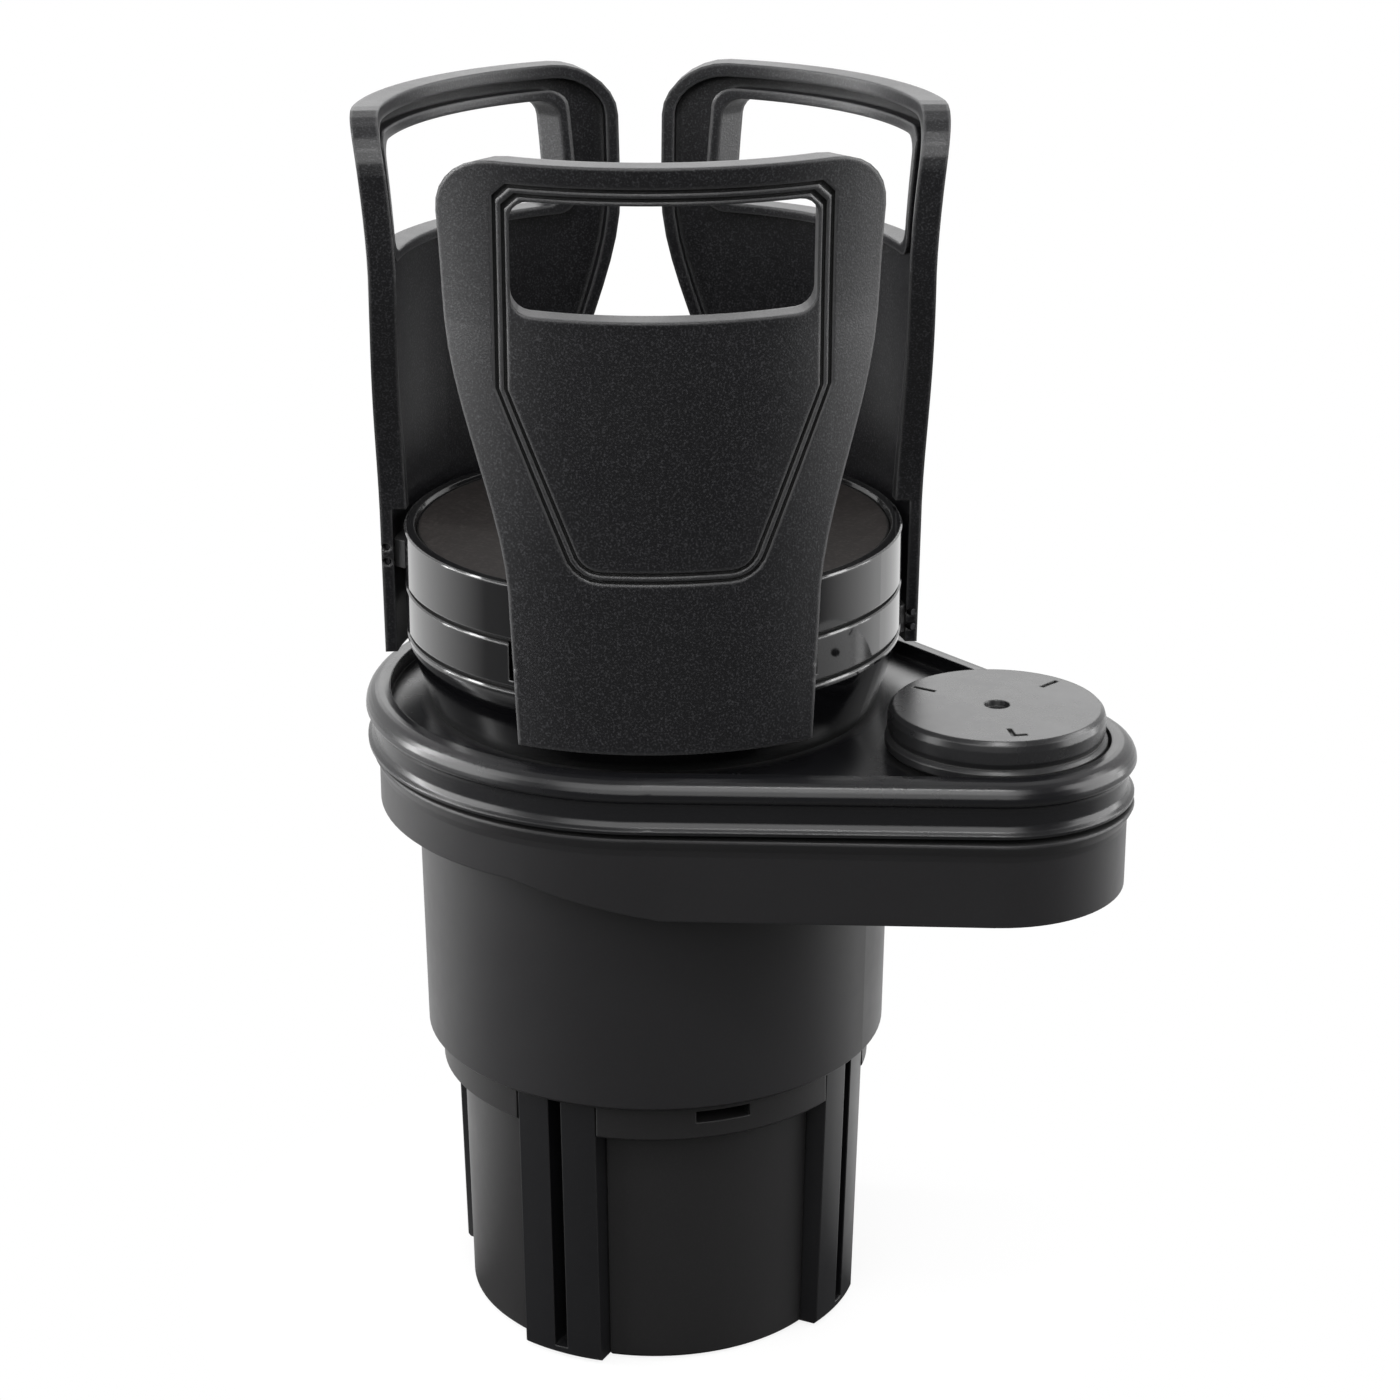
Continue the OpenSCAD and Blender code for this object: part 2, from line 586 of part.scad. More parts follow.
module drum_base() {
    color("black") difference() {
        union() {
            rotate_extrude($fn = fine) polygon([[neck_r - drum_wall, deck_up_z], [neck_r, deck_up_z],
                [drum_r, band_mid_z - 0.8], [drum_r, band_mid_z - 0.25], [drum_r - 0.25, band_mid_z],
                [drum_in_r, band_mid_z], [taper(base_floor_z) - drum_wall, base_floor_z], [0, base_floor_z],
                [0, base_floor_z - drum_floor_t],
                [taper(base_floor_z - drum_floor_t) - drum_wall, base_floor_z - drum_floor_t]]);
            rails(RIGHT, base_floor_z - merge, band_mid_z - snug);
            stack_bosses(LOW_STACK, base_floor_z - merge, band_mid_z);
            around(3, 0) translate([tray_screw_place, 0, 0]) rod(3.6, deck_up_z, base_floor_z - 1);
            rod(4.5, deck_up_z + 0.4, base_floor_z - 1);
        }
        mouth(RIGHT, band_mid_z + cut);
        around(3, 0) translate([tray_screw_place, 0, 0])
            rod(tray_screw - 0.2, deck_up_z - cut, base_floor_z - 1);
        for (a = LOW_STACK) rotate(a) translate([stack_place, 0, 0])
            rod(stack_screw - 0.2, base_floor_z, band_mid_z + cut);
        rod(axle_r, deck_up_z + 1.5, base_floor_z + cut);
    }
}

module drum_middle() {
    color("black") difference() {
        union() {
            band(band_mid_z, band_top_z);
            rod(drum_in_r + merge, band_mid_z, mid_floor_z);
            rails(FRONT, mid_floor_z - merge, spacer_z);
            stack_bosses(TOP_STACK, mid_floor_z - merge, spacer_z);
        }
        mouth(FRONT, band_top_z + cut);
        rod(pinion_hole, band_mid_z - cut, mid_floor_z + cut);
        for (a = TOP_STACK) rotate(a) translate([stack_place, 0, 0])
            rod(stack_screw - 0.2, mid_floor_z, spacer_z + cut);
        for (a = LOW_STACK) rotate(a) translate([stack_place, 0, mid_floor_z])
            sunk_seat(stack_screw, stack_head, drum_floor_t + cut);
    }
}

// Thin plate between the front and left slide plates
module spacer_plate() {
    color("dimgray") difference() {
        rod(drum_in_r - 0.3, spacer_z, top_floor_z);
        rod(pinion_hole, spacer_z - cut, top_floor_z + cut);
        for (a = TOP_STACK) rotate(a) translate([stack_place, 0, 0])
            rod(stack_screw + snug, spacer_z - cut, top_floor_z + cut);
    }
}

// Cap: the floor of the upper cup, with a lip round its pad
module drum_cap() {
    color("black") difference() {
        union() {
            band(band_top_z, rim_z);
            rod(drum_in_r + merge, ceiling_z, pad_z);
            rails(LEFT, top_floor_z + snug, ceiling_z + merge);
            stack_bosses(TOP_STACK, top_floor_z + snug, ceiling_z + merge);
            ring(axle_r + 2, axle_r, ceiling_z - 0.2, ceiling_z + merge);
        }
        rotate_extrude($fn = fine) polygon([[0, pad_z], [drum_r - lip_w, pad_z],
            [drum_r - lip_w, rim_z - 0.6], [drum_r - lip_w + 0.8, rim_z + cut], [0, rim_z + cut]]);
        rotate(LEFT[0]) translate([20, -mouth_w, band_top_z - cut])
            cube([drum_r, 2 * mouth_w, ceiling_z - band_top_z + cut]);
        rod(axle_r + snug, ceiling_z - cut, pad_z - 0.8);
        for (a = TOP_STACK) rotate(a) translate([stack_place, 0, pad_z])
            sunk_seat(stack_screw, stack_head, pad_z - top_floor_z + cut);
    }
}

module stack_screws() {
    color("silver") {
        for (a = LOW_STACK) rotate(a) translate([stack_place, 0, mid_floor_z])
            sunk_screw(stack_screw - 0.2, stack_head - 0.1, drum_floor_t + stack_grip);
        for (a = TOP_STACK) rotate(a) translate([stack_place, 0, pad_z])
            sunk_screw(stack_screw - 0.2, stack_head - 0.1, pad_z - spacer_z + stack_grip);
    }
}

module pinion_axle() {
    color("silver") rod(axle_r, deck_up_z + 1.5, pad_z - 0.9);
}

module upper_pad() {
    color("black") rotate_extrude($fn = fine) polygon([[0, pad_z], [drum_r - lip_w - 0.15, pad_z],
        [drum_r - lip_w - 0.15, pad_z + up_pad_t - 0.3], [drum_r - lip_w - 0.45, pad_z + up_pad_t],
        [0, pad_z + up_pad_t]]);
}

// Half thickness angle of a pinion tooth at radius r, on the involute
base_r = pitch_r * cos(press_a);
function involute(r) = let (a = acos(base_r / r)) tan(a) * 180 / PI - a;
function tooth_half(r) = (90 - backlash / tooth_m * 180 / PI / 2) / pinion_teeth
    + involute(pitch_r) - involute(max(r, base_r));
TOOTH_R = [root_r, base_r, (base_r + pitch_r) / 2, pitch_r, (pitch_r + tip_r) / 2, tip_r];

// Pinion: one long gear that meshes with all three racks
module pinion() {
    step = 360 / pinion_teeth;
    color("whitesmoke") difference() {
        translate([0, 0, base_floor_z + 0.2]) linear_extrude(height = ceiling_z - base_floor_z - 0.5)
            polygon([for (i = [0:pinion_teeth - 1], k = [0:11]) let (
                r = TOOTH_R[k < 6 ? k : 11 - k],
                a = step * i + (k < 6 ? -1 : 1) * tooth_half(r)) r * [cos(a), sin(a)]]);
        rod(axle_r + run, base_floor_z, ceiling_z);
    }
}

// Outline of a rack along x, a tooth gap centred on x = phase, facing -y
function rack_points(x0, x1, phase) = let (pitch = PI * tooth_m, t = tan(press_a),
    half = pitch / 4 - backlash / 2, deep = tooth_m + 0.2, up = rack_addendum)
    [for (i = [ceil(x0 / pitch):floor(x1 / pitch) - 1]) let (c = (i + 0.5) * pitch + phase)
        each [[c - half - deep * t, pitch_r + deep], [c - half + up * t, pitch_r - up],
            [c + half - up * t, pitch_r - up], [c + half + deep * t, pitch_r + deep]]];

// How far the pinion's nearest tooth stands from the middle of a rack
function rack_phase(petal) = let (step = 360 / pinion_teeth, a = petal[0] + 90)
    pitch_r * (a - step * round(a / step)) * PI / 180;

// Slide plate: runs in the drum's rails, carries a rack and ends against its petal
module slide_plate(petal) {
    z = petal[1] + slide_gap;
    teeth = rack_points(-petal_travel - 6.5, 6.5, rack_phase(petal));
    color("gray") rotate(petal[0]) difference() {
        intersection() {
            translate([slide_back, -slide_w, z]) cube([70, 2 * slide_w, slide_t]);
            translate([petal_shift, 0, 0]) rod(petal_in_r - snug, z - cut, z + slide_t + cut);
            rod(drum_in_r + 12, z - cut, z + slide_t + cut);
        }
        difference() {
            translate([-petal_travel - 8.5, -tip_r - 0.8, z - cut])
                cube([petal_travel + 17, 2 * tip_r + 1.9, slide_t + 2 * cut]);
            translate([0, 0, z - 2 * cut]) linear_extrude(height = slide_t + 4 * cut) polygon(concat(
                [[-petal_travel - 9.5, tip_r + 2], [-petal_travel - 9.5, pitch_r + tooth_m + 0.2]],
                teeth, [[9.5, pitch_r + tooth_m + 0.2], [9.5, tip_r + 2]]));
        }
        for (s = [-1, 1]) mirror([0, s < 0 ? 0 : 1, 0]) pin_bores(z);
        for (s = [-1, 1]) translate([4, s * 14.5 - 2.5, z - cut]) cube([20, 5, slide_t + 2 * cut]);
    }
}
slide_back = -24; // inner end of a slide plate

// Two dowels each side join a petal to its slide plate
dowel_r = 0.6;
dowel_x = petal_shift + sqrt(pow(petal_r, 2) - pow(petal_foot_w, 2)) - petal_wall / 2; // inside its wall
dowel_in = 14; // how near the middle they reach
module pin_bores(z) {
    for (k = [-1, 1]) translate([dowel_x, -petal_foot_w - cut, z + slide_t / 2 + k * 1.3])
        rotate([-90, 0, 0]) cylinder(r = dowel_r + 0.02, h = petal_foot_w - dowel_in + cut, $fn = round_n);
}

module pins(petal) {
    z = petal[1] + slide_gap;
    color("silver") rotate(petal[0]) for (s = [0, 1], k = [-1, 1]) mirror([0, s, 0])
        translate([dowel_x, -petal_foot_w, z + slide_t / 2 + k * 1.3]) rotate([-90, 0, 0])
            cylinder(r = dowel_r, h = petal_foot_w - dowel_in - 0.1, $fn = round_n);
}

// Half width of a petal at height z: straight foot, swelling sides, straight head
function smooth(t) = t * t * (3 - 2 * t);
function petal_half(z) = z < waist_z
    ? petal_foot_w + (petal_waist_w - petal_foot_w) * (z - petal_z) / (waist_z - petal_z)
    : petal_waist_w + (petal_head_w - petal_waist_w) * smooth(min(1, (z - waist_z) / (head_z - waist_z)));

// Right half of a petal's outline, inset all round, from foot to top corner, as [across, up]
function petal_side(inset, foot_z) = let (r = petal_corner_r - inset, top = petal_top_z - inset)
    concat([for (i = [0:20]) let (z = foot_z + (top - r - foot_z) * i / 20) [set_in(petal_half(z), inset), z]],
        [for (i = [1:7]) [set_in(petal_head_w - petal_corner_r * (1 - cos(i * 90 / 7)), inset * cos(i * 90 / 7)),
            top - r * (1 - sin(i * 90 / 7))]]);
// A point of the petal's face moved in by an arc length
function set_in(across, inset) = petal_r * sin(asin(across / petal_r) - inset / petal_r * 180 / PI);
function both_sides(half) = concat(half, [for (i = [len(half) - 1:-1:0]) [-half[i][0], half[i][1]]]);

// The two sides of an outline carried through the petal's wall, nearly square to it
edge_a = 40; // direction of the edge faces, from the petal's middle
function edge_place(p) = [cos(edge_a) * p[0] - sin(edge_a) * (petal_shift + sqrt(pow(petal_r, 2) - pow(p[0], 2))), p[1]];
module trimmed(half) {
    ends = [[-2 * petal_r, half[len(half) - 1][1]], [-2 * petal_r, half[0][1]]];
    intersection_for(s = [0, 1]) mirror([0, s, 0]) rotate(edge_a) translate([-petal_r, 0, 0]) rotate([90, 0, 90])
        linear_extrude(height = 3 * petal_r) polygon(concat([for (p = half) edge_place(p)], ends));
}

// A shape drawn on the petal's face as [across, up], carried through it along x
reach = petal_r + 10; // past the petal's face
module through(x0, x1) translate([x0, 0, 0]) rotate([90, 0, 90]) linear_extrude(height = x1 - x0) children();

// Corners of the shield, from its lower right up to its top right
shield_w = petal_window_w / 2 + line_w + 0.6;
shield_top_z = window_top_z + line_w + 0.6;
shield_bend_z = petal_z + 58;
shield_low_w = shield_w - 8.2;
shield_low_z = petal_z + 28.2;
function shield_side(inset) = let (r = 6 - inset, w = shield_low_w - inset, z = shield_low_z + inset)
    concat([for (i = [0:5]) [w - 1.5 - r * (1 - sin(i * 15)), z + r * (1 - cos(i * 15))]],
        [[shield_w - inset, shield_bend_z], [shield_w - inset, shield_top_z - inset - 2],
        [shield_w - inset - 2, shield_top_z - inset]]);

// Arc shell of a petal between two depths behind its face, flared at the head
module petal_shell(d0, d1, z0) {
    bend = concat([[0, z0]], [for (i = [0:9]) [petal_flare * pow(i / 8, 1.5), flare_z + flare_h * i / 8]]);
    translate([petal_shift, 0, 0]) rotate_extrude($fn = fine) polygon(concat(
        [for (p = bend) [petal_r - d0 + p[0], p[1]]],
        [for (i = [len(bend) - 1:-1:0]) [petal_r - d1 + bend[i][0], bend[i][1]]]));
}

module window_outline(grow) {
    r = 3;
    w = petal_window_w / 2 + grow - r;
    h0 = window_z - grow + r;
    h1 = window_top_z + grow - r;
    polygon([for (c = [[w, h1, 0], [-w, h1, 90], [-w, h0, 180], [w, h0, 270]], i = [0:5])
        [c[0] + r * cos(c[2] + 18 * i), c[1] + r * sin(c[2] + 18 * i)]]);
}

// Petal: a curved, windowed shell with a deep rim and a moulded shield line
module petal(place) {
    z = place[1] + slide_gap;
    color("black") rotate(place[0]) difference() {
        intersection() {
            petal_shell(0, petal_rim_d, petal_z);
            trimmed(petal_side(0, petal_z));
        }
        difference() {
            petal_shell(petal_wall, petal_rim_d + cut, petal_z - cut);
            difference() {
                translate([0, -petal_r, rim_start_z]) cube([2 * petal_r, 2 * petal_r, petal_h]);
                trimmed(petal_side(petal_rim_w, petal_z - cut));
            }
            through(petal_shift, reach) window_outline(petal_rim_w - 0.6);
        }
        through(petal_shift, reach) window_outline(0);
        intersection() {
            petal_shell(-cut, line_d, petal_z + cut);
            through(petal_shift, reach) for (w = [0, line_w - line_groove]) difference() {
                polygon(both_sides(shield_side(w)));
                polygon(both_sides(shield_side(w + line_groove)));
            }
        }
        for (s = [0, 1]) mirror([0, s, 0]) pin_bores(z);
    }
}

module petal_right() petal(RIGHT);
module petal_front() petal(FRONT);
module petal_left() petal(LEFT);
module slide_right() slide_plate(RIGHT);
module slide_front() slide_plate(FRONT);
module slide_left() slide_plate(LEFT);
module pins_right() pins(RIGHT);
module pins_front() pins(FRONT);
module pins_left() pins(LEFT);

// Lock knob: a stepped disc with a dimple, ticks and an arrow on its top
module lock_knob() {
    z0 = deck_up_z + washer_t + 0.1;
    top = deck_up_z + knob_h;
    color("gray") translate([pivot_x, 0, 0]) difference() {
        rotate_extrude($fn = fine) polygon([[bolt_r, z0 + 0.6], [knob_washer_r + 0.4, z0 + 0.6],
            [knob_washer_r + 0.4, z0],
            [knob_flange_r - 0.5, z0], [knob_flange_r, z0 + 0.5], [knob_flange_r, z0 + 1.7],
            [knob_flange_r - 0.5, z0 + 2.2], [knob_r + 0.5, z0 + 2.3], [knob_r + 0.9, z0 + 3.4],
            [knob_r + 0.9, top - 1.6], [knob_r + 0.6, top - 0.6], [knob_r, top], [0, top],
            [0, top - 2.6], [bolt_r, top - 2.6]]);
        rotate_extrude($fn = round_n) polygon([[0, top - 1], [dimple_r - 0.6, top - 1],
            [dimple_r, top + cut], [0, top + cut]]);
        rod(bolt_head_r, top - 4.6, top - 2.6);
        for (a = [147, 45] + [turn_a, turn_a]) rotate(a) translate([knob_r * 0.68, -0.4, top - mark_d])
            cube([4, 0.8, cut]);
        rotate(turn_a - 81) translate([knob_r * 0.72, 0, top - mark_d]) linear_extrude(height = cut)
            polygon([[-1, -1.3], [2.4, -1.3], [2.4, 1.3], [1.6, 1.3], [1.6, -0.5], [-1, -0.5]]);
    }
}
turn_a = 27.4; // turns the marks as they stand
mark_d = 0.4; // depth of the marks
washer_t = 0.8; // washer under the knob
knob_washer_r = 11.6;
bolt_head_r = 4.2;

module knob_bolt() {
    top = deck_up_z + knob_h;
    color("silver") translate([pivot_x, 0, 0]) union() {
        rod(bolt_r - 0.02, low_tray_z + 1, top - 4.5);
        rod(bolt_head_r - 0.02, top - 4.58, top - 2.62);
    }
}

module knob_washer() {
    color("silver") translate([pivot_x, 0, 0])
        ring(knob_washer_r, bolt_r + 0.1, deck_up_z + 0.1, deck_up_z + washer_t);
}

foot_shell();
foot_cover();
cover_screws();
claw_right();
claw_rear();
claw_left();
claw_front();
main_cup();
cam_plate();
cam_screws();
retaining_washer();
spindle_screw();
lower_pad();
pivot_nut();
upper_tray();
tray_screws();
drum_base();
drum_middle();
spacer_plate();
drum_cap();
stack_screws();
pinion_axle();
upper_pad();
lock_knob();
knob_bolt();
knob_washer();
pinion();
petal_right();
slide_right();
pins_right();
petal_front();
slide_front();
pins_front();
petal_left();
slide_left();
pins_left();
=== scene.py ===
"""Looks of a black two-tier car cup holder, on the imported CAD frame, in metres, +Z up."""

import json
import math

import bmesh
import bpy
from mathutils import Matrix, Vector

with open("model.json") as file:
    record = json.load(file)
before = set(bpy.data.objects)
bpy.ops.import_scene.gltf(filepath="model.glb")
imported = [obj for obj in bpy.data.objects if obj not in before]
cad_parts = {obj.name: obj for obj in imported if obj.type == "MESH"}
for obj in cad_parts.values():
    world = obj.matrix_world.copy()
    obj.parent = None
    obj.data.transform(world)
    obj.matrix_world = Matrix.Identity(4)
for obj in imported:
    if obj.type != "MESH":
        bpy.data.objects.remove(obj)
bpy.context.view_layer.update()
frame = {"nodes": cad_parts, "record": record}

MM = 0.001

# Camera

PHOTO_PX = 1400  # width of the photograph
FOCAL_PX = 3411  # focal length, in pixels of the photograph
SENSOR_MM = 36
NEAREST = 0.02  # how near the camera sees
FARTHEST = 20  # how far the camera sees
CAMERA_AT = Vector((0.2510, -0.4843, 0.3113))
LOOK_ALONG = Vector((-0.4194, 0.8384, -0.3479))


def add_camera():
    data = bpy.data.cameras.new("photo_camera")
    data.sensor_width = SENSOR_MM
    data.lens = FOCAL_PX / PHOTO_PX * SENSOR_MM
    data.clip_start = NEAREST
    data.clip_end = FARTHEST
    camera = bpy.data.objects.new("photo_camera", data)
    camera.location = CAMERA_AT
    camera.rotation_euler = LOOK_ALONG.to_track_quat("-Z", "Y").to_euler()
    bpy.context.scene.collection.objects.link(camera)
    bpy.context.scene.camera = camera


add_camera()

# Shader helpers


def add_node(tree, kind, **settings):
    made = tree.nodes.new("ShaderNode" + kind)
    for name, value in settings.items():
        setattr(made, name, value)
    return made


def feed(tree, source, socket):
    """Feeds a socket from another node's output, or sets it to a number, a vector or a colour."""
    if hasattr(source, "links"):
        tree.links.new(source, socket)
    elif socket.type == "RGBA":
        socket.default_value = (*source, 1)
    else:
        socket.default_value = source


def feed_all(tree, made, **sources):
    """Feeds a node's sockets by name, with _ for a space."""
    for label, source in sources.items():
        feed(tree, source, made.inputs[label.replace("_", " ")])


def math_node(tree, operation, first, second):
    made = add_node(tree, "Math", operation=operation)
    feed(tree, first, made.inputs[0])
    feed(tree, second, made.inputs[1])
    return made.outputs["Value"]


def vector_math(tree, operation, *vectors):
    """Works on one or two vectors; gives a vector for NORMALIZE, else a number."""
    made = add_node(tree, "VectorMath", operation=operation)
    for vector, socket in zip(vectors, made.inputs):
        feed(tree, vector, socket)
    return made.outputs["Vector" if operation == "NORMALIZE" else "Value"]


def remap(tree, value, from_low, from_high, to_low=0.0, to_high=1.0):
    made = add_node(tree, "MapRange")
    feed_all(tree, made, Value=value, From_Min=from_low, From_Max=from_high, To_Min=to_low, To_Max=to_high)
    return made.outputs["Result"]


def blend(tree, mask, low, high, data_type="RGBA"):
    """Goes from low to high as the mask goes from 0 to 1; each is a value or another node's output."""
    made = add_node(tree, "Mix", data_type=data_type)
    feed_all(tree, made, Factor=mask, A=low, B=high)
    return made.outputs["Result"]


def noise(tree, scale, detail=2.0, roughness=0.5):
    made = add_node(tree, "TexNoise")
    where = add_node(tree, "TexCoord").outputs["Object"]
    feed_all(tree, made, Vector=where, Scale=scale, Detail=detail, Roughness=roughness)
    return made.outputs["Fac"]


def bump(tree, height, strength, depth, normal):
    made = add_node(tree, "Bump")
    feed_all(tree, made, Height=height, Strength=strength, Distance=depth, Normal=normal)
    return made.outputs["Normal"]


def new_material(name):
    material = bpy.data.materials.new(name)
    material.use_nodes = True
    return material, material.node_tree, material.node_tree.nodes["Principled BSDF"]


def new_group(name, inputs, outputs):
    """An empty shader group, with inputs as {name: default number} and outputs as {name: kind}."""
    tree = bpy.data.node_groups.new(name, "ShaderNodeTree")
    for label, default in inputs.items():
        socket = tree.interface.new_socket(label, in_out="INPUT", socket_type="NodeSocketFloat")
        socket.default_value = default
    for label, kind in outputs.items():
        tree.interface.new_socket(label, in_out="OUTPUT", socket_type="NodeSocket" + kind)
    return tree, tree.nodes.new("NodeGroupInput").outputs, tree.nodes.new("NodeGroupOutput").inputs


def use_group(tree, group, **values):
    made = add_node(tree, "Group", node_tree=group)
    feed_all(tree, made, **values)
    return made.outputs


def grey(level):
    return (level, level, level)


# Effects that several skins share

EDGE_RADIUS_MM = 0.4  # radius of a moulded edge
EDGE_HIGHLIGHT_FADE = (0.999, 0.86)  # cosine of the rounded skin's turn where an edge's painted highlight begins and is full
BEVEL_SAMPLES = 6
GROOVE_REACH = 2.2 * MM  # how wide a groove still takes the painted shade
GROOVE_FADE = (0.3, 0.8)  # open share of the surroundings, down in a groove under full painted shade and clear of it
GROOVE_SAMPLES = 4
GRAIN_MM = 0.35  # size of the grain
# brightness of the painted glints on the grain's tops
GLINT_BRIGHTNESS = 0.3
GLINT_FADE = (0.5, 0.72)  # height of the grain where a painted glint begins and is full
SMEARS = (38.0, 4.0, 0.6)  # scale, detail and roughness of the handling smears
FLOW_MARKS = (420.0, 2.0, 0.5)  # the same of the flow marks
SMEAR_SHARE = 0.75  # share of the unevenness that is smears, the rest being flow marks
SMEAR_FADE = (0.3, 0.7)  # unevenness that gives the lowest and the highest roughness


def edge_group():
    """Rounds sharp edges in the shading, and gives masks of the edges, for their painted highlight, and of
    what isn't down in a groove, which takes painted shade.
    """
    tree, given, out = new_group(
        "rounded_edges",
        {"Radius": EDGE_RADIUS_MM * MM},
        {"Normal": "Vector", "Edge_Highlight": "Float", "Open": "Float"},
    )
    rounded = add_node(tree, "Bevel", samples=BEVEL_SAMPLES)
    feed(tree, given["Radius"], rounded.inputs["Radius"])
    flat = add_node(tree, "NewGeometry").outputs["Normal"]
    turn = vector_math(tree, "DOT_PRODUCT", rounded.outputs["Normal"], flat)
    crevice = add_node(tree, "AmbientOcclusion", samples=GROOVE_SAMPLES)
    feed(tree, GROOVE_REACH, crevice.inputs["Distance"])
    feed(tree, rounded.outputs["Normal"], out["Normal"])
    # mask of the painted highlight along the edges
    feed(tree, remap(tree, turn, *EDGE_HIGHLIGHT_FADE), out["Edge_Highlight"])
    # mask of what is clear of the painted shade in grooves
    feed(tree, remap(tree, crevice.outputs["AO"], *GROOVE_FADE), out["Open"])
    return tree


def grain_group():
    """Spark-eroded grain of a moulded skin: fine bumps, with painted glints as specks on their tops."""
    tree, given, out = new_group(
        "moulded_grain_and_glints",
        {"Size": GRAIN_MM * MM, "Specks": GLINT_BRIGHTNESS},
        {"Height": "Float", "Speck": "Float"},
    )
    height = noise(tree, math_node(tree, "DIVIDE", 1.0, given["Size"]))
    tops = remap(tree, height, *GLINT_FADE)
    feed(tree, height, out["Height"])
    # painted glints, lighter specks on the grain's tops
    feed(tree, math_node(tree, "MULTIPLY", tops, given["Specks"]), out["Speck"])
    return tree


def gloss_group():
    """Uneven gloss of a skin, from handling smears and flow marks, and the cloud of the smears."""
    tree, given, out = new_group(
        "uneven_gloss",
        {"Low": 0.0, "High": 1.0},
        {"Roughness": "Float", "Cloud": "Float"},
    )
    cloud = noise(tree, *SMEARS)
    smears = math_node(tree, "MULTIPLY", cloud, SMEAR_SHARE)
    marks = math_node(tree, "MULTIPLY", noise(tree, *FLOW_MARKS), 1 - SMEAR_SHARE)
    uneven = math_node(tree, "ADD", smears, marks)
    feed(tree, remap(tree, uneven, *SMEAR_FADE, given["Low"], given["High"]), out["Roughness"])
    feed(tree, cloud, out["Cloud"])
    return tree


EDGES = edge_group()
GRAIN = grain_group()
GLOSS = gloss_group()

# Moulded plastic and rubber

EDGE_HIGHLIGHT_SHARE = 0.6  # how far an edge takes its painted highlight colour
# painted shade down in a groove
GROOVE_PAINTED_SHADE = grey(0.002)
GROOVE_ROUGHNESS = 0.9
GRAIN_STRENGTH = 0.6
COAT_ROUGHNESS = 0.06

# In each skin below, the second colour is painted glint on the tops of the grain and the third a painted
# highlight along the edges
PLASTICS = {
    # Foot and its cover, satin black
    "foot_plastic": {
        "base": (0.011, 0.0105, 0.011),
        "glint_speck": grey(0.022),
        "edge": grey(0.05),
        "rough": (0.4, 0.48),
    },
    # Grooved claws, a deeper and smoother black
    "claw_plastic": {
        "base": (0.006, 0.006, 0.007),
        "glint_speck": (0.014, 0.014, 0.015),
        "edge": grey(0.03),
        "rough": (0.28, 0.36),
    },
    # Lower cup and its tray, satin black
    "body_plastic": {
        "base": (0.013, 0.0125, 0.0135),
        "glint_speck": (0.021, 0.021, 0.022),
        "edge": (0.035, 0.035, 0.036),
        "rough": (0.38, 0.46),
    },
    # Upper tray, glossier than the cup
    "tray_plastic": {
        "base": (0.006, 0.006, 0.007),
        "glint_speck": (0.01, 0.01, 0.011),
        "edge": (0.04, 0.04, 0.041),
        "rough": (0.22, 0.3),
    },
    # Cam plate, spacer plate and slide plates, dull
    "inner_plastic": {
        "base": (0.02, 0.02, 0.021),
        "glint_speck": (0.035, 0.035, 0.036),
        "edge": grey(0.06),
        "rough": (0.45, 0.55),
    },
    # Bands of the drum, smooth and glossy
    "drum_gloss": {
        "base": (0.003, 0.003, 0.0035),
        "glint_speck": grey(0.005),
        "edge": grey(0.2),
        "rough": (0.05, 0.09),
        "depth_mm": 0.0,
        "coat": 0.6,
    },
    # Petals, with a coarse grain that sparkles with painted glints
    "petal_plastic": {
        "base": (0.0035, 0.0035, 0.0045),
        "glint_speck": (0.034, 0.034, 0.037),
        "edge": (0.12, 0.12, 0.122),
        "rough": (0.34, 0.42),
        "edge_mm": 0.9,
        "grain_mm": 0.32,
        "depth_mm": 0.05,
        "sparkle": 1.0,
    },
    # Knob, a greyer black
    "knob_plastic": {
        "base": (0.016, 0.016, 0.017),
        "glint_speck": grey(0.03),
        "edge": grey(0.08),
        "rough": (0.24, 0.32),
    },
    # Pinion, natural white
    "pinion_plastic": {
        "base": (0.72, 0.71, 0.67),
        "glint_speck": (0.8, 0.8, 0.76),
        "edge": (0.8, 0.8, 0.78),
        "rough": (0.35, 0.45),
    },
    # Anti-slip pads, brown-black and dusty
    "pad_rubber": {
        "base": (0.015, 0.012, 0.011),
        "glint_speck": (0.05, 0.043, 0.04),
        "edge": grey(0.03),
        "rough": (0.5, 0.7),
        "grain_mm": 0.6,
        "depth_mm": 0.05,
        "sparkle": 0.5,
    },
}


